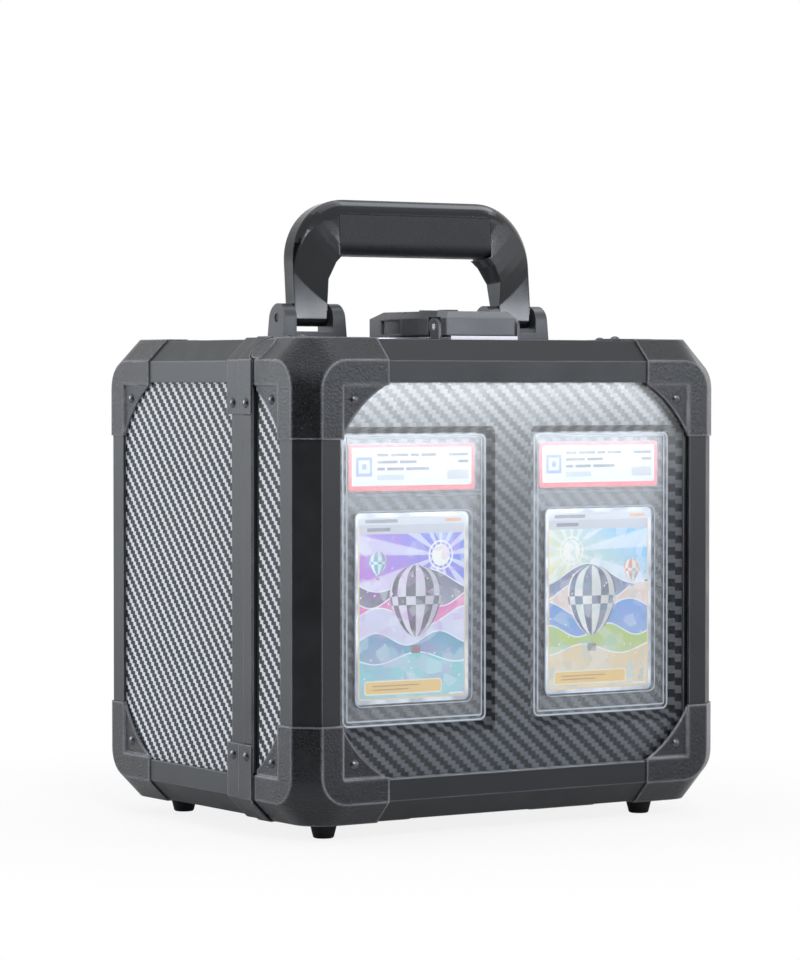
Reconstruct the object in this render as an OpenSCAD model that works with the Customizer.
// Carry case for graded trading cards, with a windowed lid that shows two of them.
// Front of the case faces -Y, the lid is the front part and hinges along the bottom.

/* [Case] */
// Width over the edge strips
case_w = 240; // [200:1:320]
// Height over the edge strips, without feet and handle
case_h = 222; // [200:1:300]
// Depth over the edge strips
case_d = 186; // [150:1:260]
// Depth of the lid up to its seal
lid_d = 41.2; // [38:0.1:50]
// Thickness of the seal between lid and body
seal_t = 2.1; // [1.5:0.1:3]
// Gap between the seal and the body
seam_gap = 0.3; // [0.2:0.05:0.6]

/* [Edge strips] */
// Leg of the 45 degree bevel on every edge
bevel = 10; // [7:0.5:13]
// Width of the flat strip beside the bevel
strip_w = 10; // [8:0.5:13]
// Wall of the aluminium strip
strip_t = 1.5; // [1.2:0.1:2]
// Wall of the inner lip that holds a panel
lip_t = 1.2; // [0.8:0.1:1.6]
// Width of the rim strip round the body's mouth
rim_w = 19; // [16:0.5:22]
// Width of the raised bead on the rim strip
bead_w = 7; // [4:0.5:9]
// Height of the raised bead
bead_h = 0.6; // [0.3:0.1:0.9]

/* [Panels] */
// Thickness of the side panels and of the window
panel_t = 3; // [2:0.25:4]
// Gap round a panel in its channel
panel_fit = 0.15; // [0.1:0.05:0.3]

/* [Corner caps] */
// Reach of a cap along each edge
cap_reach = 46; // [40:0.5:52]
// Sheet thickness of a cap
cap_t = 0.8; // [0.6:0.1:1.2]
// Corner radius of each cap face
cap_r = 13.5; // [10:0.5:16]
// Width of the cap's raised flange, from the outer plane
cap_flange = 21.3; // [20.8:0.1:24]
// Distance of the gusset's arc centre from both outer planes
gusset_c = 73.4; // [66:0.2:80]
// Radius of the gusset's arc
gusset_r = 59.4; // [52:0.2:64]
// Depth of the gusset's face under the strip's face
gusset_drop = 0.3; // [0.2:0.1:0.5]
// Distance of a corner rivet from both outer planes
rivet_in = 27.8; // [26:0.1:30]

/* [Seam straps] */
// Reach of a strap from the outer planes
strap_reach = 34.7; // [32:0.1:38]
// Depth of a strap along the case
strap_d = 21.6; // [20:0.1:25]
// Thickness of a strap's rear half
strap_t = 0.9; // [0.7:0.1:1.2]
// Thickness of a strap's raised front half
strap_front_t = 1.4; // [1.2:0.1:1.8]
// Depth of the raised front half
strap_front_d = 11; // [8:0.5:13]
// Width of the tongue that covers the seam on a bevel
tongue_w = 13; // [10:0.5:14]
// Clearance round the tongue
tongue_gap = 0.7; // [0.5:0.1:1]

/* [Rivets] */
// Radius of a rivet's shank
rivet_r = 1.4; // [1:0.1:1.8]
// Radius of a rivet's head
rivet_head_r = 2.5; // [2:0.1:3]
// Height of a rivet's head
rivet_head_h = 1.3; // [0.8:0.1:1.8]
// Clearance round a rivet's shank
rivet_fit = 0.1; // [0.05:0.05:0.2]

/* [Feet] */
// Height of a foot below the case
foot_h = 8.5; // [6:0.5:14]
// Radius of a foot at the case
foot_top_r = 7; // [5.5:0.1:7.1]
// Radius of a foot at the floor
foot_low_r = 5; // [4.4:0.1:5.4]
// Distance of a foot's centre from the outer planes
foot_in = 28.8; // [28.6:0.1:34]
// Radius of the rounded lower edge
foot_edge_r = 1.2; // [0.6:0.1:1.8]

/* [Hinges] */
// Width of one hinge
hinge_w = 38; // [24:1:60]
// Distance of a hinge's centre from the middle
hinge_x = 54; // [40:1:66]
// Radius of a hinge's barrel
hinge_r = 2.4; // [2:0.1:3]
// Radius of a hinge's pin
hinge_pin_r = 1.2; // [0.8:0.1:1.4]
// Gap between two knuckles
knuckle_gap = 0.3; // [0.2:0.05:0.5]
// Running clearance round every pin
pin_fit = 0.05; // [0.03:0.01:0.08]

/* [Handle] */
// Distance of a handle pivot from the middle
pivot_x = 59.7; // [52:0.1:66]
// Place of the handle pivot, behind the front plane
pivot_y = 93; // [90:0.5:100]
// Height of the pivot above the case
pivot_h = 10.8; // [10.2:0.1:14]
// Angle that the handle leans back at rest
handle_lean = 5; // [0:1:8]
// Height of the handle's top above the pivot
handle_top = 57.2; // [50:0.2:75]
// Radius of the handle's upper outer corners
handle_corner_r = 30; // [18:1:34]
// Width of a handle leg
leg_w = 18.6; // [14:0.2:19.6]
// Thickness of the handle's legs and outer rim
handle_rim_t = 8; // [8:0.5:12]
// Thickness of the handle at its grip
handle_t = 17; // [14:0.5:19]
// Width of the rounded border over which the handle grows to its full thickness
handle_slope_w = 9; // [5:0.5:10]
// Radius of the arc on the legs where the handle begins to swell
swell_r = 94; // [88:1:110]
// Width over which it swells
swell_w = 36; // [20:1:40]
// Height of the grip insert
grip_h = 19; // [15:0.5:23]
// Height of the grip's underside above the pivot
grip_low = 30.4; // [26:0.2:36]
// Half length of the grip insert
grip_half = 44; // [36:0.5:45]
// Radius of the handle's pivot pin
pivot_pin_r = 2; // [1.5:0.1:2.6]

/* [Handle brackets] */
// Width of a bracket at its base
bracket_w = 36.8; // [34:0.2:42]
// Depth of a bracket
bracket_d = 14; // [11:0.5:16]
// Height of a bracket's base above the case
bracket_base_h = 4.4; // [3:0.1:4.6]
// Gap between a bracket's ears
ear_gap = 20.6; // [20:0.1:22]
// Inward slope of an ear's outer side
ear_slope = 1.8; // [0.5:0.1:3]

/* [Latch] */
// Full width of the latch
latch_w = 47; // [40:0.5:56]
// Front of the hasp, behind the front plane
hasp_y = 33; // [32:0.1:34]
// Length of the hasp
hasp_l = 33.5; // [31:0.1:36]
// Height of the hasp's underside above the case
hasp_low = 2.3; // [2.1:0.1:2.8]
// Height of the latch's upright sides above the case
latch_side_h = 10.6; // [10:0.1:12]
// Height of the latch's top above the case
latch_top_h = 13.8; // [13:0.1:15]
// Width of the bevel round the latch's top
latch_bevel = 3; // [2:0.1:3.5]
// Wall of the hasp
hasp_t = 2.2; // [1.6:0.1:2.6]
// Place of the hasp's pin, behind the hasp's front
hasp_pin_in = 5.3; // [5:0.1:6]
// Height of the hasp's pin above the case
hasp_pin_h = 6.4; // [6:0.1:7]
// Radius of the hasp's pin
hasp_pin_r = 1.4; // [1:0.1:1.6]
// Gap between the hasp and the lock housing
hasp_gap = 0.4; // [0.3:0.1:0.8]
// Length of the lock housing
lock_l = 30; // [28:0.5:33]
// Length of the housing's full rear block
lock_rear_l = 13.2; // [12:0.1:14]
// Length of the slope at the housing's rear
lock_slope = 8; // [3:0.5:8]
// Depth of the recess in the housing's sides
lock_recess = 1; // [0.8:0.1:2]
// Radius of a number dial
dial_r = 6.1; // [5.6:0.1:6.2]
// Width of a number dial
dial_w = 3.8; // [3:0.1:4.2]
// Gap between two dials
dial_gap = 0.5; // [0.3:0.1:0.7]
// Height of a dial's top above the case
dial_top = 14.9; // [14.6:0.1:15.2]
// Radius of the dials' axle
axle_r = 1.3; // [1:0.1:1.6]
// Travel of the release slide
slide_travel = 3.5; // [2:0.5:4]

/* [Display] */
// Thickness of the display tray
tray_t = 10; // [9:0.25:12]
// Depth of a pocket in the tray
pocket_d = 7.9; // [7:0.1:8.5]
// Widening of a pocket at its side away from the middle
pocket_side = 6; // [2:0.5:8]
// Widening of a pocket at its other sides
pocket_edge = 3; // [2:0.5:5]
// Widening of a pocket at its lower side
pocket_low = 4.6; // [2:0.2:6]
// Distance of a pocket's floor from the middle
pocket_x = 13.2; // [12:0.2:20]
// Height of a pocket's floor edge above the case's underside
pocket_z = 43.3; // [40:0.1:52]

/* [Graded cards] */
// Width of a card holder
slab_w = 80.3; // [78:0.1:83]
// Height of a card holder
slab_h = 134.7; // [130:0.1:138]
// Thickness of a card holder
slab_t = 5; // [4.5:0.1:6]
// Clearance of a holder in its pocket
slab_fit = 0.3; // [0.2:0.1:0.6]
// Width of a card
card_w = 63; // [60:0.1:65]
// Height of a card
card_h = 88; // [85:0.1:90]
// Height of the card above the holder's lower edge
card_up = 10.2; // [8:0.1:14]
// Thickness of a card
card_t = 0.5; // [0.3:0.1:0.8]
// Corner radius of a card
card_r = 3; // [2:0.5:4]
// Width of a label
label_w = 70; // [60:0.5:72]
// Height of a label
label_h = 21.5; // [16:0.5:24]
// Height of the label above the holder's lower edge
label_up = 108.5; // [104:0.5:109]

/* [Body lining] */
// Gap between the shell's outer plane and the foam
foam_in = 7; // [6.4:0.1:9]
// Depth of the foam's front behind the front plane
foam_y = 66; // [64:1:90]
// Width of one lane in the foam
lane_w = 88; // [82:1:96]
// Wall of foam round the lanes, above and below
foam_wall = 10; // [8:0.5:16]
// Floor of foam behind the lanes
foam_floor = 12; // [8:1:20]

/* [Hidden] */

black = [0.10, 0.10, 0.11];
strip_grey = [0.20, 0.20, 0.22];
weave_grey = [0.33, 0.34, 0.36];
steel = [0.72, 0.73, 0.76];
rubber_black = [0.07, 0.07, 0.07];

eps = 0.01;
// Rounding of small bores and pins
$fn = 48;

// Fasteners
dome_r = (rivet_head_r * rivet_head_r + rivet_head_h * rivet_head_h) / (2 * rivet_head_h);
rivet_tail_r = rivet_r + 0.7;
rivet_tail_h = 0.8;
rivet_hole_l = 9;
screw_r = 1.5;
screw_fit = 0.15;
screw_head_r = 2.6;
screw_head_h = 2;
// Gap from the floor to a foot screw's head
screw_up = 1.5;
sink_h = 1.4;
nut_h = 1.8;

// Edge strip section
strip_reach = bevel + strip_w;
knee = strip_t * tan(22.5);
panel_out = strip_t + panel_fit;
panel_in = panel_out + panel_t;
lip_out = panel_in + panel_fit;
lip_in = lip_out + lip_t;
web_in = bevel + knee + lip_t;
panel_edge = web_in + panel_fit;
// Strips end under the caps, clear of one another
strip_end = strip_reach + 4;

// Panels: the body's end in the rim's channel and in the rear strips' channel
panel_x = [panel_edge, case_w - panel_edge];
panel_z = [panel_edge, case_h - panel_edge];
lid_panel_y = [panel_edge, lid_d];

// Sum of a point's three distances from the outer planes where a cap's inner blend passes
cap_blend_sum = 2 * (bevel + cap_r * (1 - sqrt(0.5)));
// Sheet that the faces of a cap are blended from
cap_skin = 0.4;
gusset_t = 1;

// Seam
body_y = lid_d + seal_t + seam_gap;
rim_end = strip_reach + 2;
strap_y = body_y + 0.3;
panel_y = [body_y + lip_t + panel_fit, case_d - panel_edge];
strap_rivet_front = strap_y + 4;
strap_rivet_rear = strap_y + strap_d - 5.2;
strap_rivet_in = 29.4;
// Tongue: its start before the seal, its sink under the bevel and its thickness over it
tongue_l = 4;
tongue_sink = 0.35;
tongue_t = 0.4;

// Hinge axis, from the front plane and the case's underside
hinge_y = lid_d + (seal_t + seam_gap) / 2;
hinge_z = -(hinge_r + 0.1);
knuckle_w = (hinge_w - 2 * knuckle_gap) / 3;
leaf_t = 1.3;
leaf_l = 16;
leaf_gap = 0.1;
hinge_lid_face = -leaf_t - leaf_gap;
hinge_body_face = -leaf_t - bead_h - leaf_gap;

// Handle
opening_half = pivot_x - leg_w / 2;
handle_half_w = pivot_x + leg_w / 2;
ear_r = bracket_d / 2;
pivot_z = case_h + pivot_h;
leg_neck = pivot_h - bracket_base_h - 0.4;
neck_h = 3;
barrel_r = pivot_pin_r + 2;
// Centre of the arcs on the legs, above the pivots
swell_z = handle_top + 29;
opening_taper = 4;
opening_knee = 12;
grip_gap = 0.1;
grip_r = 6;
bracket_screw_x = 5;

// Latch
hasp_pin_y = hasp_y + hasp_pin_in;
hasp_pin_z = case_h + hasp_pin_h;
lock_y = hasp_y + hasp_l + hasp_gap;
lock_low = 1.7;
// Cut corners of the latch's outer ends: across and along
latch_cut = [4, 3];
// Cheeks on the lid that carry the hasp's pin, in notches of the hasp's sides
cheek_t = 1.6;
cheek_r = latch_side_h - hasp_pin_h;
notch_gap = 0.3;
hasp_front_half = latch_w / 2 - cheek_t - notch_gap;
plate_lip_t = 1.4;
plate_lip_gap = 1.8;
dial_y = lock_y + dial_r + 2.3;
dial_z = case_h + dial_top - dial_r;
dials_w = 3 * dial_w + 2 * dial_gap;
dial_notch_r = 1;
axle_over = 4;
slide_x = 14;
slide_w = 5;
slide_h = 3;
slide_z = case_h + 4.4;
post_l = 4;
post_y = hasp_y + hasp_l - 8.6;
nose_gap = 0.9;
slide_tail = lock_y + lock_l - lock_rear_l + 0.1;
stem_w = 3;
stem_l = 5;
pad_w = 7;
pad_l = 7;
pad_h = 1.3;

// Display
tray_y = lip_in + 0.3;
floor_w = slab_w + 2 * slab_fit;
floor_h = slab_h + 2 * slab_fit;
floor_y = tray_y + pocket_d;
slab_y = floor_y - slab_fit - slab_t;
slab_x = pocket_x + slab_fit;
slab_z = pocket_z + slab_fit;
card_gap = 0.25;
// Corner radius of a holder and of its pocket
slab_r = 3;
label_r = 1;
// Rim of a holder: its width at the sides, at the top and above the card, and its height
slab_rim = [3, 2, 1.5, 0.5];

// The case's own frame: x from the middle, y from the front plane, z from the underside.
module in_case() {
  translate([0, -case_d / 2, foot_h]) children();
}

// A corner's frame: each axis runs inward from an outer plane. Signs pick the corner.
module at_corner(sx, sy, sz) {
  in_case()
    translate([sx * case_w / 2, sy > 0 ? case_d : 0, sz > 0 ? case_h : 0])
      mirror([sx > 0 ? 1 : 0, 0, 0])
        mirror([0, sy > 0 ? 1 : 0, 0])
          mirror([0, 0, sz > 0 ? 1 : 0])
            children();
}

module both_sides() {
  children();
  mirror([1, 0, 0]) children();
}

// Sweeps a section along X, Y or Z. The section's own axes follow the other two in order.
module along_x(from, to) {
  translate([from, 0, 0]) rotate([90, 0, 90]) linear_extrude(to - from) children();
}

module along_y(from, to) {
  translate([0, to, 0]) rotate([90, 0, 0]) linear_extrude(to - from) children();
}

module along_z(from, to) {
  translate([0, 0, from]) linear_extrude(to - from) children();
}

module block(x, y, z) {
  translate([x[0], y[0], z[0]]) cube([x[1] - x[0], y[1] - y[0], z[1] - z[0]]);
}

// ---- Edge strips and panels ----

// Half of the lip that forms the panel's channel
module strip_lip() {
  translate([bevel + knee, strip_t - eps]) square([lip_t, lip_in - strip_t + eps]);
  translate([bevel + knee, lip_out]) square([strip_w - knee, lip_t]);
}

module strip_section() {
  polygon([
    [0, bevel], [bevel, 0], [strip_reach, 0], [strip_reach, strip_t],
    [bevel + knee, strip_t], [strip_t, bevel + knee], [strip_t, strip_reach], [0, strip_reach]
  ]);
  strip_lip();
  mirror([1, -1]) strip_lip();
}

module depth_edge_strips() {
  color(strip_grey)
    for (sx = [-1, 1]) for (sz = [-1, 1])
      at_corner(sx, -1, sz) along_y(body_y, case_d - strip_end) strip_section();
}

module rear_edge_strips() {
  color(strip_grey) {
    for (sz = [-1, 1])
      at_corner(-1, 1, sz) along_x(strip_end, case_w - strip_end) strip_section();
    for (sx = [-1, 1])
      at_corner(sx, 1, -1) along_z(strip_end, case_h - strip_end) strip_section();
  }
}

module lid_level_strip(sz) {
  color(strip_grey)
    at_corner(-1, -1, sz) along_x(strip_end, case_w - strip_end) strip_section();
}

module lid_upright_strip(sx) {
  color(strip_grey)
    at_corner(sx, -1, -1) along_z(strip_end, case_h - strip_end) strip_section();
}

// Channel round the mouth: [distance from the outer plane, distance behind the front plane]
module rim_section() {
  translate([0, body_y]) square([strip_t, rim_w]);
  translate([0, body_y]) square([lip_in, lip_t]);
  translate([lip_out, body_y]) square([lip_t, rim_w]);
}

module bead_section() {
  translate([-bead_h, body_y + 1]) square([bead_h + eps, bead_w]);
}

// One rim strip with its bead, which stops at the straps
module rim_strip(length) {
  along_z(rim_end, length - rim_end) rim_section();
  along_z(strap_reach + 0.3, length - strap_reach - 0.3) bead_section();
}

module mouth_rim_strips() {
  color(strip_grey)
    difference() {
      union() {
        for (sx = [-1, 1]) at_corner(sx, -1, -1) rim_strip(case_h);
        for (sz = [-1, 1])
          at_corner(-1, -1, sz)
            mirror([1, 0, -1]) rim_strip(case_w);
      }
      body_rivet_holes();
      hinge_rivets(1, rivet_fit);
    }
}

// Corner cut that keeps a plate clear of the caps, from its margin and its depth
function corner_cut(margin, depth) = max(0, cap_blend_sum - depth - 2 * margin + 0.6);

module cut_outline(u, v, cut) {
  polygon([
    [u[0] + cut, v[0]], [u[1] - cut, v[0]], [u[1], v[0] + cut], [u[1], v[1] - cut],
    [u[1] - cut, v[1]], [u[0] + cut, v[1]], [u[0], v[1] - cut], [u[0], v[0] + cut]
  ]);
}

panel_cut = corner_cut(panel_edge, panel_out);

module side_panel(sx) {
  color(weave_grey)
    difference() {
      at_corner(sx, -1, -1) along_x(panel_out, panel_in) cut_outline(panel_y, panel_z, panel_cut);
      body_rivet_holes();
    }
}

module level_panel(sz) {
  color(weave_grey)
    difference() {
      at_corner(-1, -1, sz) along_z(panel_out, panel_in) cut_outline(panel_x, panel_y, panel_cut);
      body_rivet_holes();
      hinge_rivets(1, rivet_fit);
      foot_screws(1, rivet_fit);
      bracket_screw_set(rivet_fit);
    }
}

module back_panel() {
  color(weave_grey)
    difference() {
      at_corner(-1, 1, -1) along_y(panel_out, panel_in) cut_outline(panel_x, panel_z, panel_cut);
      body_rivet_holes();
    }
}

module lid_side_panels() {
  color(weave_grey)
    difference() {
      for (sx = [-1, 1])
        at_corner(sx, -1, -1) along_x(panel_out, panel_in) cut_outline(lid_panel_y, panel_z, panel_cut);
      lid_rivet_holes();
    }
}

module lid_top_and_bottom_panels() {
  color(weave_grey)
    difference() {
      for (sz = [-1, 1])
        at_corner(-1, -1, sz) along_z(panel_out, panel_in) cut_outline(panel_x, lid_panel_y, panel_cut);
      lid_rivet_holes();
      hinge_rivets(-1, rivet_fit);
      foot_screws(-1, rivet_fit);
    }
}

module window_pane() {
  color([0.75, 0.80, 0.85, 0.35])
    difference() {
      at_corner(-1, -1, -1) along_y(panel_out, panel_in) cut_outline(panel_x, panel_z, panel_cut);
      lid_rivet_holes();
    }
}

// Bevelled outline of the case from the front, drawn in by a margin
module case_outline(inset) {
  half = case_w / 2 - inset;
  cut = bevel - inset * tan(22.5);
  polygon([
    [-half + cut, inset], [half - cut, inset], [half, inset + cut], [half, case_h - inset - cut],
    [half - cut, case_h - inset], [-half + cut, case_h - inset],
    [-half, case_h - inset - cut], [-half, inset + cut]
  ]);
}

module seam_seal() {
  color(rubber_black)
    in_case()
      along_y(lid_d, lid_d + seal_t)
        difference() {
          case_outline(strip_t);
          case_outline(lip_in);
        }
}

// ---- Corner caps ----

// One face of a cap: its rounded corner starts at the bevel
module cap_face(reach, start) {
  centre = start + cap_r;
  polygon(concat(
    [[start, reach]],
    [for (i = [0 : 8]) centre * [1, 1] - cap_r * [cos(i * 90 / 8), sin(i * 90 / 8)]],
    [[reach, start], [reach, reach]]
  ));
}

// Blend of three faces, grown outward by a distance
module cap_blend(grow, reach) {
  start = bevel - grow * tan(22.5);
  hull() {
    translate([0, 0, -grow]) linear_extrude(cap_skin) cap_face(reach, start);
    translate([0, cap_skin - grow, 0]) rotate([90, 0, 0]) linear_extrude(cap_skin) cap_face(reach, start);
    translate([-grow, 0, 0]) rotate([90, 0, 90]) linear_extrude(cap_skin) cap_face(reach, start);
  }
}

// The flange stops here on one face, where the gusset steps down
module flange_cut(reach) {
  translate([cap_flange, cap_flange, -cap_t - 1]) cube([reach, reach, cap_t + 2]);
}

// Stepped-down web of one face, with its hole at the same distance from both outer planes
module gusset(reach, hole_in, hole_r) {
  step = cap_flange - gusset_t;
  difference() {
    union() {
      translate([0, 0, gusset_drop]) linear_extrude(gusset_t) square_from(step, reach);
      translate([0, 0, -cap_t]) linear_extrude(cap_t + gusset_drop + gusset_t)
        difference() {
          square_from(step, reach);
          square_from(cap_flange, reach + 1);
        }
    }
    translate([gusset_c, gusset_c, -1 - cap_t]) cylinder(r = gusset_r, h = 5, $fn = 96);
    translate([hole_in, hole_in, -1]) cylinder(r = hole_r, h = 4, $fn = 24);
  }
}

module square_from(start, end) {
  translate([start, start]) square(end - start);
}

// A whole cap in its corner's frame. A lower cap takes a foot's screw, the others a rivet.
module corner_cap(reach, with_foot) {
  level_in = with_foot ? foot_in : rivet_in;
  level_r = with_foot ? screw_r + screw_fit : rivet_r + rivet_fit;
  difference() {
    cap_blend(cap_t, reach);
    cap_blend(0, 2 * reach);
    flange_cut(reach);
    rotate([90, 0, 0]) mirror([0, 0, 1]) flange_cut(reach);
    rotate([90, 0, 90]) flange_cut(reach);
  }
  gusset(reach, level_in, level_r);
  rotate([90, 0, 0]) mirror([0, 0, 1]) gusset(reach, rivet_in, rivet_r + rivet_fit);
  rotate([90, 0, 90]) gusset(reach, rivet_in, rivet_r + rivet_fit);
}

module rear_cap(sx, sz) {
  color(black) at_corner(sx, 1, sz) corner_cap(cap_reach, sz < 0);
}

// Tongue on a bevel that hides the seam: [across, along], its end is round
module seam_tongue(width, grow) {
  hull() {
    translate([-width / 2 - grow, lid_d - tongue_l]) square([width + 2 * grow, tongue_l]);
    translate([0, lid_d + 1]) circle(width / 2 + grow, $fn = 32);
  }
}

module on_bevel(from, to) {
  translate([bevel / 2, 0, bevel / 2])
    rotate([0, 45, 0]) translate([0, 0, -to]) linear_extrude(to - from) children();
}

// Lid caps stop at the seal, and the upper two carry a tongue over the seam
module lid_cap(sx, sz) {
  color(black)
    at_corner(sx, -1, sz) {
      intersection() {
        corner_cap(cap_reach, sz < 0);
        translate([-2, -2, -2]) cube([cap_reach + 4, lid_d + 2, cap_reach + 4]);
      }
      if (sz > 0) on_bevel(tongue_sink, cap_t + tongue_t) seam_tongue(tongue_w, 0);
    }
}

// ---- Seam straps ----

// Bent band that follows the bevelled edge: [from the side plane, from the top plane]
module strap_section(thick) {
  outer = bevel - thick * tan(22.5);
  polygon([
    [-thick, strap_reach], [-thick, outer], [outer, -thick], [strap_reach, -thick],
    [strap_reach, 0], [bevel, 0], [0, bevel], [0, strap_reach]
  ]);
}

module seam_strap(sx, sz) {
  color(black)
    difference() {
      at_corner(sx, -1, sz)
        difference() {
          union() {
            along_y(strap_y, strap_y + strap_front_d) strap_section(strap_front_t);
            along_y(strap_y, strap_y + strap_d) strap_section(strap_t);
            if (sz < 0)
              intersection() {
                on_bevel(0, strap_front_t + tongue_t) seam_tongue(tongue_w, 0);
                block([-strap_reach, strap_reach], [strap_y, case_d], [-strap_reach, strap_reach]);
              }
          }
          if (sz > 0) on_bevel(-1, 4) seam_tongue(tongue_w, tongue_gap);
        }
      body_rivet_holes();
    }
}

// ---- Rivets ----

// A rivet along +Z: its head's seat is at z = 0 and its tail closes at the grip
module rivet(grip) {
  intersection() {
    translate([0, 0, dome_r - rivet_head_h]) sphere(dome_r, $fn = 32);
    block([-dome_r, dome_r], [-dome_r, dome_r], [-rivet_head_h, 0]);
  }
  translate([0, 0, -eps]) cylinder(r = rivet_r, h = grip + eps, $fn = 24);
  translate([0, 0, grip]) cylinder(r = rivet_tail_r, h = rivet_tail_h, $fn = 24);
}

// Places for the rivets of one cap: on each face, but none under a foot
module cap_rivet_places(sx, sy, sz) {
  at_corner(sx, sy, sz) {
    if (sz > 0) translate([rivet_in, rivet_in, gusset_drop]) children();
    translate([rivet_in, gusset_drop, rivet_in]) rotate([-90, 0, 0]) children();
    translate([gusset_drop, rivet_in, rivet_in]) rotate([0, 90, 0]) children();
  }
}

// Places on a strap's face that lies proud by thick, at y behind the front plane
module strap_rivet_places(y, thick) {
  for (sx = [-1, 1]) for (sz = [-1, 1])
    at_corner(sx, -1, sz) {
      translate([-thick, y, strap_rivet_in]) rotate([0, 90, 0]) children();
      translate([strap_rivet_in, y, -thick]) children();
    }
}

module rivet_hole() {
  translate([0, 0, -1]) cylinder(r = rivet_r + rivet_fit, h = rivet_hole_l, $fn = 24);
}

module body_rivet_holes() {
  for (sx = [-1, 1]) for (sz = [-1, 1]) cap_rivet_places(sx, 1, sz) rivet_hole();
  strap_rivet_places(strap_rivet_front, strap_front_t) rivet_hole();
  strap_rivet_places(strap_rivet_rear, strap_t) rivet_hole();
}

module lid_rivet_holes() {
  for (sx = [-1, 1]) for (sz = [-1, 1]) cap_rivet_places(sx, -1, sz) rivet_hole();
}

module body_rivets() {
  color(steel) {
    for (sx = [-1, 1]) for (sz = [-1, 1])
      cap_rivet_places(sx, 1, sz) rivet(panel_in - gusset_drop);
    strap_rivet_places(strap_rivet_front, strap_front_t) rivet(lip_in + strap_front_t);
    strap_rivet_places(strap_rivet_rear, strap_t) rivet(lip_in + strap_t);
    hinge_rivets(1, 0);
  }
}

module lid_rivets() {
  color(steel) {
    for (sx = [-1, 1]) for (sz = [-1, 1])
      cap_rivet_places(sx, -1, sz) rivet(panel_in - gusset_drop);
    hinge_rivets(-1, 0);
  }
}

// ---- Feet ----

// Half section of a foot, with its lower edge rounded
module foot_profile() {
  polygon(concat(
    [[0, gusset_drop], [0, -foot_h]],
    [for (i = [0 : 6])
      [foot_low_r - foot_edge_r, foot_edge_r - foot_h] + foot_edge_r * [sin(i * 15), -cos(i * 15)]],
    [[foot_top_r, gusset_drop]]
  ));
}

// Screws of two feet, in front or at the rear. With a gap they are the screws' holes.
module foot_screws(sy, gap) {
  for (sx = [-1, 1])
    at_corner(sx, sy, -1)
      translate([foot_in, foot_in, 0]) {
        translate([0, 0, screw_up - foot_h - (gap > 0 ? screw_up + 1 : 0)])
          cylinder(r = screw_head_r + gap, h = screw_head_h + (gap > 0 ? screw_up + 1 : 0));
        translate([0, 0, screw_up - foot_h])
          cylinder(r = screw_r + gap, h = foot_h - screw_up + panel_in + (gap > 0 ? 4 : 0));
        if (gap == 0) translate([0, 0, panel_in]) cylinder(r = screw_head_r, h = nut_h);
      }
}

module feet(sy) {
  color(rubber_black)
    difference() {
      for (sx = [-1, 1])
        at_corner(sx, sy, -1)
          translate([foot_in, foot_in, 0]) rotate_extrude() foot_profile();
      foot_screws(sy, screw_fit);
    }
}

// ---- Hinges ----

// Rivets of both hinges' leaves, on the body for 1 and on the lid for -1
module hinge_rivets(side, gap) {
  seat = side > 0 ? hinge_body_face : hinge_lid_face;
  y = side > 0 ? body_y + rim_w - 6 : lid_d - 8;
  grip = (side > 0 ? lip_in : panel_in) - seat;
  in_case()
    for (x = [-hinge_x, hinge_x]) for (i = [-1, 0, 1])
      translate([x + i * knuckle_w, y, seat])
        if (gap > 0) rivet_hole();
        else rivet(grip);
}

// A knuckle of a barrel between two places along the hinge
module knuckle(from, to) {
  translate([from, hinge_y, hinge_z]) rotate([0, 90, 0]) cylinder(r = hinge_r, h = to - from);
}

module pin_bore(length) {
  translate([-length / 2 - 1, hinge_y, hinge_z])
    rotate([0, 90, 0]) cylinder(r = hinge_pin_r + pin_fit, h = length + 2);
}

module hinge_body_leaves() {
  end = hinge_w / 2;
  mid = knuckle_w / 2 + knuckle_gap;
  color(black)
    difference() {
      in_case()
        for (x = [-hinge_x, hinge_x])
          translate([x, 0, 0])
            difference() {
              union() {
                block([-end, end], [hinge_y + hinge_r + 0.4, body_y + rim_w], [hinge_body_face, -bead_h - leaf_gap]);
                for (side = [-1, 1]) {
                  from = side < 0 ? -end : mid;
                  knuckle(from, from + knuckle_w);
                  block([from, from + knuckle_w], [hinge_y, hinge_y + hinge_r + 1], [hinge_body_face, -bead_h - leaf_gap]);
                }
              }
              pin_bore(hinge_w);
            }
      hinge_rivets(1, rivet_fit);
    }
}

module hinge_lid_leaves() {
  end = hinge_w / 2;
  mid = knuckle_w / 2;
  front = hinge_y - hinge_r - 0.4;
  color(black)
    difference() {
      in_case()
        for (x = [-hinge_x, hinge_x])
          translate([x, 0, 0])
            difference() {
              union() {
                block([-end, end], [lid_d - leaf_l, front], [hinge_lid_face, panel_out]);
                block([-mid, mid], [front - 1, hinge_y], [hinge_lid_face, -leaf_gap]);
                knuckle(-mid, mid);
              }
              pin_bore(hinge_w);
            }
      hinge_rivets(-1, rivet_fit);
    }
}

module hinge_pins() {
  color(steel)
    in_case()
      for (x = [-hinge_x, hinge_x])
        translate([x - hinge_w / 2, hinge_y, hinge_z])
          rotate([0, 90, 0]) cylinder(r = hinge_pin_r, h = hinge_w);
}

// ---- Handle ----

module at_pivots() {
  in_case() translate([0, pivot_y, pivot_z]) children();
}

// Outline of the handle from the front, with its pivots at z = 0
module handle_outline(inset) {
  half = handle_half_w - inset;
  for (side = [-1, 1])
    translate([side * (handle_half_w - handle_corner_r), handle_top - handle_corner_r])
      circle(handle_corner_r - inset, $fn = 64);
  translate([-half, -ear_r]) square([2 * half, ear_r]);
}

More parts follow.
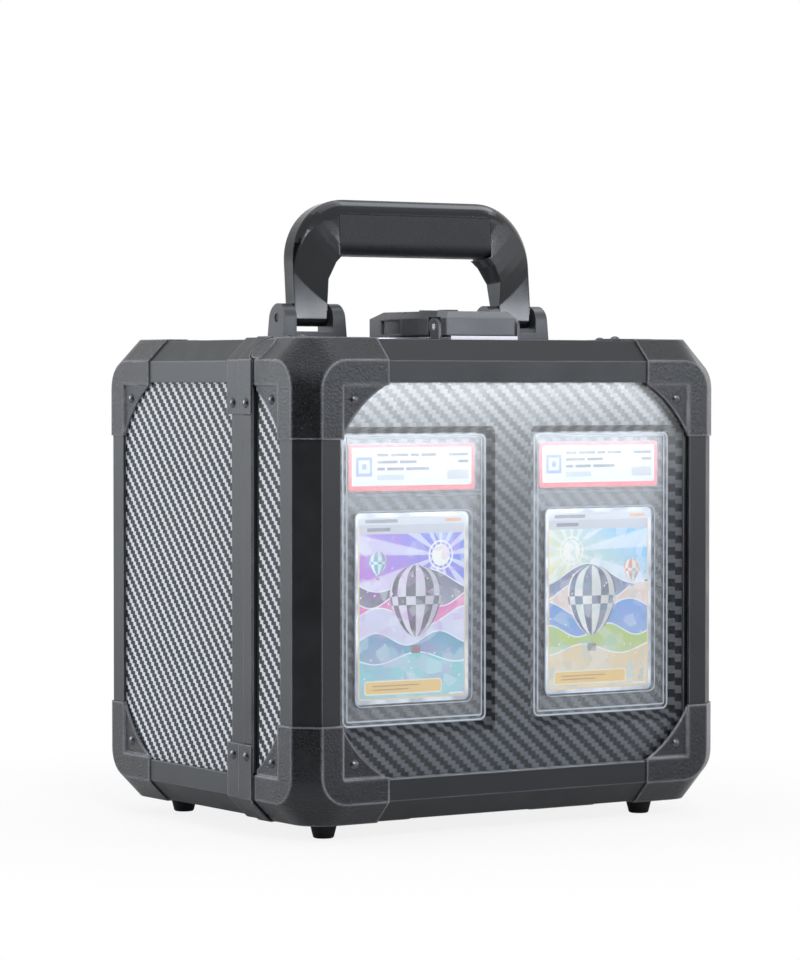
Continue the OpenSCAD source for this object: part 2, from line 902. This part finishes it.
// Points [out, half thickness] of an arc from the rim to the full thickness, over a width
function swell_arc(w, steps) =
  let (
    full = handle_t / 2,
    rise = full - handle_rim_t / 2,
    r = (w * w + rise * rise) / (2 * rise),
    turn = asin(w / r)
  )
  [for (i = [0 : steps]) [r * sin(turn * i / steps), full - r + r * cos(turn * i / steps)]];

module handle_pillow() {
  hull()
    for (p = swell_arc(handle_slope_w, 5))
      along_y(-p[1], p[1]) handle_outline(handle_slope_w - p[0]);
}

// Flat legs, and the lens above them that swells to the grip
module handle_lens() {
  rim = handle_rim_t / 2;
  full = handle_t / 2;
  bow = swell_arc(swell_w, 8);
  last = len(bow) - 1;
  block([-handle_half_w - 1, handle_half_w + 1], [-rim, rim], [-handle_top, handle_top + 1]);
  translate([0, 0, swell_z])
    rotate([90, 0, 0])
      rotate_extrude($fn = 180)
        polygon(concat(
          [[0, full], [0, -full]],
          [for (i = [0 : last]) [swell_r - swell_w + bow[i][0], -bow[i][1]]],
          [for (i = [last : -1 : 0]) [swell_r - swell_w + bow[i][0], bow[i][1]]]
        ));
}

// Space between the legs, up to the grip
module finger_opening() {
  taper = opening_taper;
  knee_z = grip_low - opening_knee;
  along_y(-handle_t, handle_t)
    polygon([
      [-opening_half, -handle_top], [opening_half, -handle_top], [opening_half, knee_z],
      [opening_half - taper, grip_low - taper], [opening_half - 2 * taper, grip_low],
      [-opening_half + 2 * taper, grip_low], [-opening_half + taper, grip_low - taper],
      [-opening_half, knee_z]
    ]);
}

// What the legs lose beside the pivot, so that they turn over the brackets' bases
module leg_neck_cut() {
  full = handle_t / 2 + 1;
  neck_top = leg_neck + neck_h;
  both_neck_sides()
    polygon([
      [leg_neck, -handle_top], [full, -handle_top], [full, neck_top + full - leg_neck], [leg_neck, neck_top]
    ]);
  translate([-handle_t, -handle_top]) square([2 * handle_t, handle_top - 0.6]);
}

module both_neck_sides() {
  children();
  mirror([1, 0]) children();
}

module grip_slot(gap) {
  block(
    [-grip_half - gap, grip_half + gap], [-handle_t, handle_t], [grip_low - 2 * gap, grip_low + grip_h + gap]
  );
}

module handle_frame() {
  color(black)
    at_pivots() rotate([-handle_lean, 0, 0])
      difference() {
        union() {
          difference() {
            intersection() {
              handle_pillow();
              handle_lens();
            }
            finger_opening();
            grip_slot(grip_gap);
            along_x(-handle_half_w - 1, handle_half_w + 1) leg_neck_cut();
          }
          for (side = [-1, 1])
            translate([side * pivot_x - leg_w / 2, 0, 0])
              rotate([0, 90, 0]) cylinder(r = barrel_r, h = leg_w);
        }
        translate([-handle_half_w - 1, 0, 0])
          rotate([0, 90, 0]) cylinder(r = pivot_pin_r + pin_fit, h = 2 * handle_half_w + 2);
      }
}

// Grip insert: flat on top, round below
module handle_grip() {
  half = handle_t / 2;
  color(rubber_black)
    at_pivots() rotate([-handle_lean, 0, 0])
      along_x(-grip_half, grip_half) {
        translate([-half, grip_low + grip_r]) square([2 * half, grip_h - grip_r]);
        translate([-half + grip_r, grip_low]) square([2 * (half - grip_r), grip_r + eps]);
        for (side = [-1, 1])
          translate([side * (half - grip_r), grip_low + grip_r]) circle(grip_r);
      }
}

module bracket_screw_set(gap) {
  top = case_h + bracket_base_h;
  low = case_h - panel_in;
  in_case()
    for (x = [-pivot_x, pivot_x]) for (side = [-1, 1])
      translate([x + side * bracket_screw_x, pivot_y, 0]) {
        translate([0, 0, top - sink_h])
          cylinder(r1 = screw_r + gap, r2 = screw_head_r + gap, h = sink_h + (gap > 0 ? eps : -0.05));
        translate([0, 0, low - (gap > 0 ? nut_h : 0)])
          cylinder(r = screw_r + gap, h = top - low - sink_h + (gap > 0 ? nut_h : 0) + eps);
        if (gap == 0) translate([0, 0, low - nut_h]) cylinder(r = screw_head_r, h = nut_h);
      }
}

module bracket_screws() {
  color(steel) bracket_screw_set(0);
}

module handle_bracket(side) {
  seat = -pivot_h - panel_out;
  half = bracket_w / 2;
  top_half = half - ear_slope;
  color(strip_grey)
    difference() {
      at_pivots() translate([side * pivot_x, 0, 0])
        difference() {
          intersection() {
            along_x(-half, half) {
              circle(ear_r);
              translate([-ear_r, seat]) square([2 * ear_r, -seat]);
            }
            along_y(-ear_r - 1, ear_r + 1)
              polygon([[-half, seat], [half, seat], [top_half, ear_r], [-top_half, ear_r]]);
          }
          block(
            [-ear_gap / 2, ear_gap / 2], [-bracket_d, bracket_d], [bracket_base_h - pivot_h, bracket_d]
          );
          translate([-half - 1, 0, 0]) rotate([0, 90, 0]) cylinder(r = pivot_pin_r + pin_fit, h = bracket_w + 2);
        }
      bracket_screw_set(screw_fit);
    }
}

module handle_pivot_pins() {
  length = bracket_w - 2 * ear_slope;
  color(steel)
    at_pivots()
      for (side = [-1, 1])
        translate([side * pivot_x - length / 2, 0, 0])
          rotate([0, 90, 0]) cylinder(r = pivot_pin_r, h = length);
}

// ---- Latch ----

// Plan of a latch part with two cut corners at its outer end
module latch_plan(y_end, y_seam, inset, end_inset) {
  half = latch_w / 2 - inset;
  inward = y_end < y_seam ? 1 : -1;
  y0 = y_end + inward * end_inset;
  polygon([
    [-half + latch_cut[0], y0], [half - latch_cut[0], y0], [half, y0 + inward * latch_cut[1]],
    [half, y_seam], [-half, y_seam], [-half, y0 + inward * latch_cut[1]]
  ]);
}

module latch_block(y_end, y_seam, low, end_slope) {
  hull() {
    along_z(case_h + low, case_h + latch_side_h) latch_plan(y_end, y_seam, 0, 0);
    along_z(case_h + low, case_h + latch_top_h) latch_plan(y_end, y_seam, latch_bevel, end_slope);
  }
}

module hasp_pin_bore(length) {
  translate([-length / 2, hasp_pin_y, hasp_pin_z])
    rotate([0, 90, 0]) cylinder(r = hasp_pin_r + pin_fit, h = length);
}

module hasp_cheeks() {
  low = case_h - panel_out;
  color(black)
    in_case()
      difference() {
        both_sides()
          translate([latch_w / 2 - cheek_t, 0, 0]) {
            translate([0, hasp_pin_y, hasp_pin_z]) rotate([0, 90, 0]) cylinder(r = cheek_r, h = cheek_t);
            block([0, cheek_t], [hasp_pin_y - cheek_r, lid_d - 0.2], [low, hasp_pin_z]);
          }
        hasp_pin_bore(latch_w + 2);
      }
}

// Bright plate under the hasp, with a lip that closes the gap in front
module latch_lid_plate() {
  low = case_h - panel_out;
  floor_top = hasp_pin_z - norm([hasp_pin_in, hasp_pin_h - hasp_low]) - 0.25;
  half = hasp_front_half - 2.4;
  lip = hasp_y - plate_lip_gap;
  color(steel)
    in_case() {
      block([-half, half], [lip - plate_lip_t, lid_d - 0.2], [low, floor_top]);
      block([-half, half], [lip - plate_lip_t, lip], [low, case_h + hasp_low - 0.3]);
    }
}

module hasp_pin() {
  color(steel)
    in_case()
      translate([-latch_w / 2, hasp_pin_y, hasp_pin_z])
        rotate([0, 90, 0]) cylinder(r = hasp_pin_r, h = latch_w);
}

module latch_hasp() {
  end = hasp_y + hasp_l;
  ceiling = case_h + latch_top_h - hasp_t;
  front_half = hasp_front_half - hasp_t;
  notch_end = hasp_pin_y + cheek_r + 0.5;
  notch_top = hasp_pin_z + cheek_r + 0.3;
  low = case_h + hasp_low - 1;
  color(black)
    in_case() {
      difference() {
        latch_block(hasp_y, end, hasp_low, latch_bevel);
        // Hollow from below, narrower between the cheeks
        block([-front_half, front_half], [hasp_y + hasp_t, end - hasp_t], [low, ceiling]);
        block(
          [hasp_t - latch_w / 2, latch_w / 2 - hasp_t], [notch_end + hasp_t, end - hasp_t], [low, ceiling - 1]
        );
        both_sides()
          block([hasp_front_half, latch_w], [hasp_y - 1, notch_end], [low, notch_top]);
        // The bolt's way through the rear wall
        block(
          [slide_x - slide_w / 2 - 0.5, slide_x + slide_w / 2 + 0.5],
          [end - hasp_t - 1, end + 1], [low, slide_z + slide_h + 0.5]
        );
        hasp_pin_bore(latch_w + 2);
      }
      // Loop that the bolt locks into
      difference() {
        block(
          [slide_x - slide_w / 2 - 1.8, slide_x + slide_w / 2 + 1.8],
          [post_y, post_y + post_l], [case_h + hasp_low + 0.3, ceiling + eps]
        );
        block(
          [slide_x - slide_w / 2 - 0.4, slide_x + slide_w / 2 + 0.4],
          [post_y - 1, post_y + post_l + 1], [slide_z - 0.4, slide_z + slide_h + 0.4]
        );
      }
    }
}

module lock_base_plate() {
  low = case_h + bead_h + 0.1;
  half = latch_w / 2 - 1;
  end = lock_y + lock_l;
  color(steel)
    in_case() {
      block([-half, half], [strap_y, end], [low, case_h + lock_low]);
      block([-half, half], [body_y + rim_w + 0.3, end], [case_h - panel_out, low + eps]);
    }
}

module release_slide_shape(gap, travel) {
  half = slide_w / 2 + gap;
  nose = post_y + post_l + nose_gap;
  pad_low = case_h + latch_top_h + 0.3;
  block([slide_x - half, slide_x + half], [nose, slide_tail + gap + travel], [slide_z - gap, slide_z + slide_h + gap]);
  block(
    [slide_x - stem_w / 2 - gap, slide_x + stem_w / 2 + gap],
    [slide_tail - stem_l - gap, slide_tail + gap + travel],
    [slide_z, pad_low + eps + (gap > 0 ? 5 : 0)]
  );
  if (gap == 0)
    block(
      [slide_x - pad_w / 2, slide_x + pad_w / 2],
      [slide_tail - pad_l + 1, slide_tail + 1], [pad_low, pad_low + pad_h]
    );
}

module release_slide() {
  color(black) in_case() release_slide_shape(0, 0);
}

module lock_housing() {
  end = lock_y + lock_l;
  half = dials_w / 2 + 0.5;
  side = latch_w / 2 - lock_recess;
  slot = dial_r + 0.6;
  color(black)
    in_case()
      difference() {
        latch_block(end, lock_y, lock_low, lock_slope);
        both_sides()
          block([side, latch_w], [lock_y - 1, end - lock_rear_l], [case_h + 3, case_h + latch_side_h - 1]);
        block([-half, half], [dial_y - slot, dial_y + slot], [case_h, case_h + 2 * latch_top_h]);
        release_slide_shape(0.3, slide_travel);
        dial_axle_shape(pin_fit, 0.1);
      }
}

module dial_axle_shape(gap, end_gap) {
  half = dials_w / 2 + axle_over + end_gap;
  translate([-half, dial_y, dial_z]) rotate([0, 90, 0]) cylinder(r = axle_r + gap, h = 2 * half);
}

module dial_axle() {
  color(steel) in_case() dial_axle_shape(0, 0);
}

// A dial with ten finger notches, one between each two numbers
module number_dial(place) {
  from = place * (dial_w + dial_gap) - dial_w / 2;
  color([0.16, 0.16, 0.17])
    in_case()
      translate([from, dial_y, dial_z]) rotate([0, 90, 0])
        difference() {
          cylinder(r = dial_r, h = dial_w);
          translate([0, 0, -1]) cylinder(r = axle_r + pin_fit, h = dial_w + 2);
          for (i = [0 : 9])
            rotate([0, 0, 36 * i + 18])
              translate([dial_r + dial_notch_r / 2, 0, -1]) cylinder(r = dial_notch_r, h = dial_w + 2, $fn = 16);
        }
}

// ---- Display and graded cards ----

module rounded_outline(u, v, r) {
  translate([u[0] + r, v[0]]) square([u[1] - u[0] - 2 * r, v[1] - v[0]]);
  translate([u[0], v[0] + r]) square([u[1] - u[0], v[1] - v[0] - 2 * r]);
  for (i = [u[0] + r, u[1] - r]) for (j = [v[0] + r, v[1] - r]) translate([i, j]) circle(r);
}

module pocket_mouth(x, z, w, h, y) {
  r = slab_r;
  translate([0, y, 0])
    rotate([90, 0, 0])
      linear_extrude(eps)
        for (i = [x + r, x + w - r]) for (j = [z + r, z + h - r])
          translate([i, j]) circle(r, $fn = 32);
}

// Pocket on the right. Its walls slope out from the floor to the tray's face.
module right_pocket() {
  hull() {
    pocket_mouth(pocket_x, pocket_z, floor_w, floor_h, floor_y);
    pocket_mouth(
      pocket_x - pocket_edge, pocket_z - pocket_low,
      floor_w + pocket_edge + pocket_side, floor_h + pocket_low + pocket_edge, tray_y - eps
    );
  }
}

// Block that fills the case's inside from one depth to another
module lining_block(from, to, cut) {
  along_y(from, to)
    cut_outline([foam_in - case_w / 2, case_w / 2 - foam_in], [foam_in, case_h - foam_in], cut);
}

module display_tray() {
  color(weave_grey)
    in_case()
      difference() {
        lining_block(tray_y, tray_y + tray_t, corner_cut(foam_in, tray_y));
        both_sides() right_pocket();
      }
}

module at_slab(side) {
  in_case() translate([side * (slab_x + slab_w / 2), slab_y, slab_z]) children();
}

// Welded holder with a raised rim and closed spaces for the card and its label
module card_holder(side) {
  half = slab_w / 2 - slab_rim[0];
  face = [-1, slab_rim[3]];
  color([0.85, 0.87, 0.90, 0.4])
    at_slab(side)
      difference() {
        along_y(0, slab_t) rounded_outline([-slab_w / 2, slab_w / 2], [0, slab_h], slab_r);
        block([-half, half], face, [slab_rim[0], label_up - 0.5 - slab_rim[2]]);
        block([-half, half], face, [label_up - 0.5, slab_h - slab_rim[1]]);
        card_space(card_gap);
        label_space(card_gap);
      }
}

// Space of a flat sheet in the holder's middle, at a height above the holder's lower edge
module sheet_space(width, height, up, r, gap) {
  y = (slab_t - card_t) / 2;
  along_y(y - gap, y + card_t + gap)
    rounded_outline([-width / 2 - gap, width / 2 + gap], [up - gap, up + height + gap], r);
}

module card_space(gap) {
  sheet_space(card_w, card_h, card_up, card_r, gap);
}

module label_space(gap) {
  sheet_space(label_w, label_h, label_up, label_r, gap);
}

module cards() {
  color([0.62, 0.72, 0.80]) for (side = [-1, 1]) at_slab(side) card_space(0);
}

module card_labels() {
  color([0.95, 0.90, 0.90]) for (side = [-1, 1]) at_slab(side) label_space(0);
}

// ---- Lining ----

// Foam with two lanes, open to the front, for holders that stand side by side
module foam_lining() {
  wall = (case_w - 2 * foam_in - 2 * lane_w) / 3;
  color([0.13, 0.13, 0.14])
    in_case()
      difference() {
        lining_block(foam_y, case_d - foam_in, corner_cut(foam_in, foam_in));
        both_sides()
          block(
            [wall / 2, wall / 2 + lane_w], [foam_y - 1, case_d - foam_in - foam_floor],
            [foam_in + foam_wall, case_h - foam_in - foam_wall]
          );
      }
}

side_panel(-1);  // left_panel
side_panel(1);  // right_panel
level_panel(1);  // top_panel
level_panel(-1);  // bottom_panel
back_panel();
depth_edge_strips();
rear_edge_strips();
mouth_rim_strips();
rear_cap(-1, 1);  // rear_top_left_cap
rear_cap(1, 1);  // rear_top_right_cap
rear_cap(-1, -1);  // rear_bottom_left_cap
rear_cap(1, -1);  // rear_bottom_right_cap
seam_strap(-1, 1);  // seam_strap_top_left
seam_strap(1, 1);  // seam_strap_top_right
seam_strap(-1, -1);  // seam_strap_bottom_left
seam_strap(1, -1);  // seam_strap_bottom_right
body_rivets();
feet(1);  // rear_feet
color(steel) foot_screws(1, 0);  // rear_foot_screws
foam_lining();
hinge_body_leaves();
hinge_pins();
handle_bracket(-1);  // handle_bracket_left
handle_bracket(1);  // handle_bracket_right
bracket_screws();
handle_pivot_pins();
handle_frame();
handle_grip();
lock_base_plate();
lock_housing();
dial_axle();
number_dial(-1);  // number_dial_left
number_dial(0);  // number_dial_middle
number_dial(1);  // number_dial_right
release_slide();
lid_level_strip(1);  // lid_top_edge_strip
lid_level_strip(-1);  // lid_bottom_edge_strip
lid_upright_strip(-1);  // lid_left_edge_strip
lid_upright_strip(1);  // lid_right_edge_strip
lid_cap(-1, 1);  // lid_top_left_cap
lid_cap(1, 1);  // lid_top_right_cap
lid_cap(-1, -1);  // lid_bottom_left_cap
lid_cap(1, -1);  // lid_bottom_right_cap
lid_side_panels();
lid_top_and_bottom_panels();
window_pane();
display_tray();
seam_seal();
lid_rivets();
feet(-1);  // front_feet
color(steel) foot_screws(-1, 0);  // front_foot_screws
hinge_lid_leaves();
latch_lid_plate();
hasp_cheeks();
hasp_pin();
latch_hasp();
card_holder(-1);  // left_card_holder
card_holder(1);  // right_card_holder
cards();
card_labels();
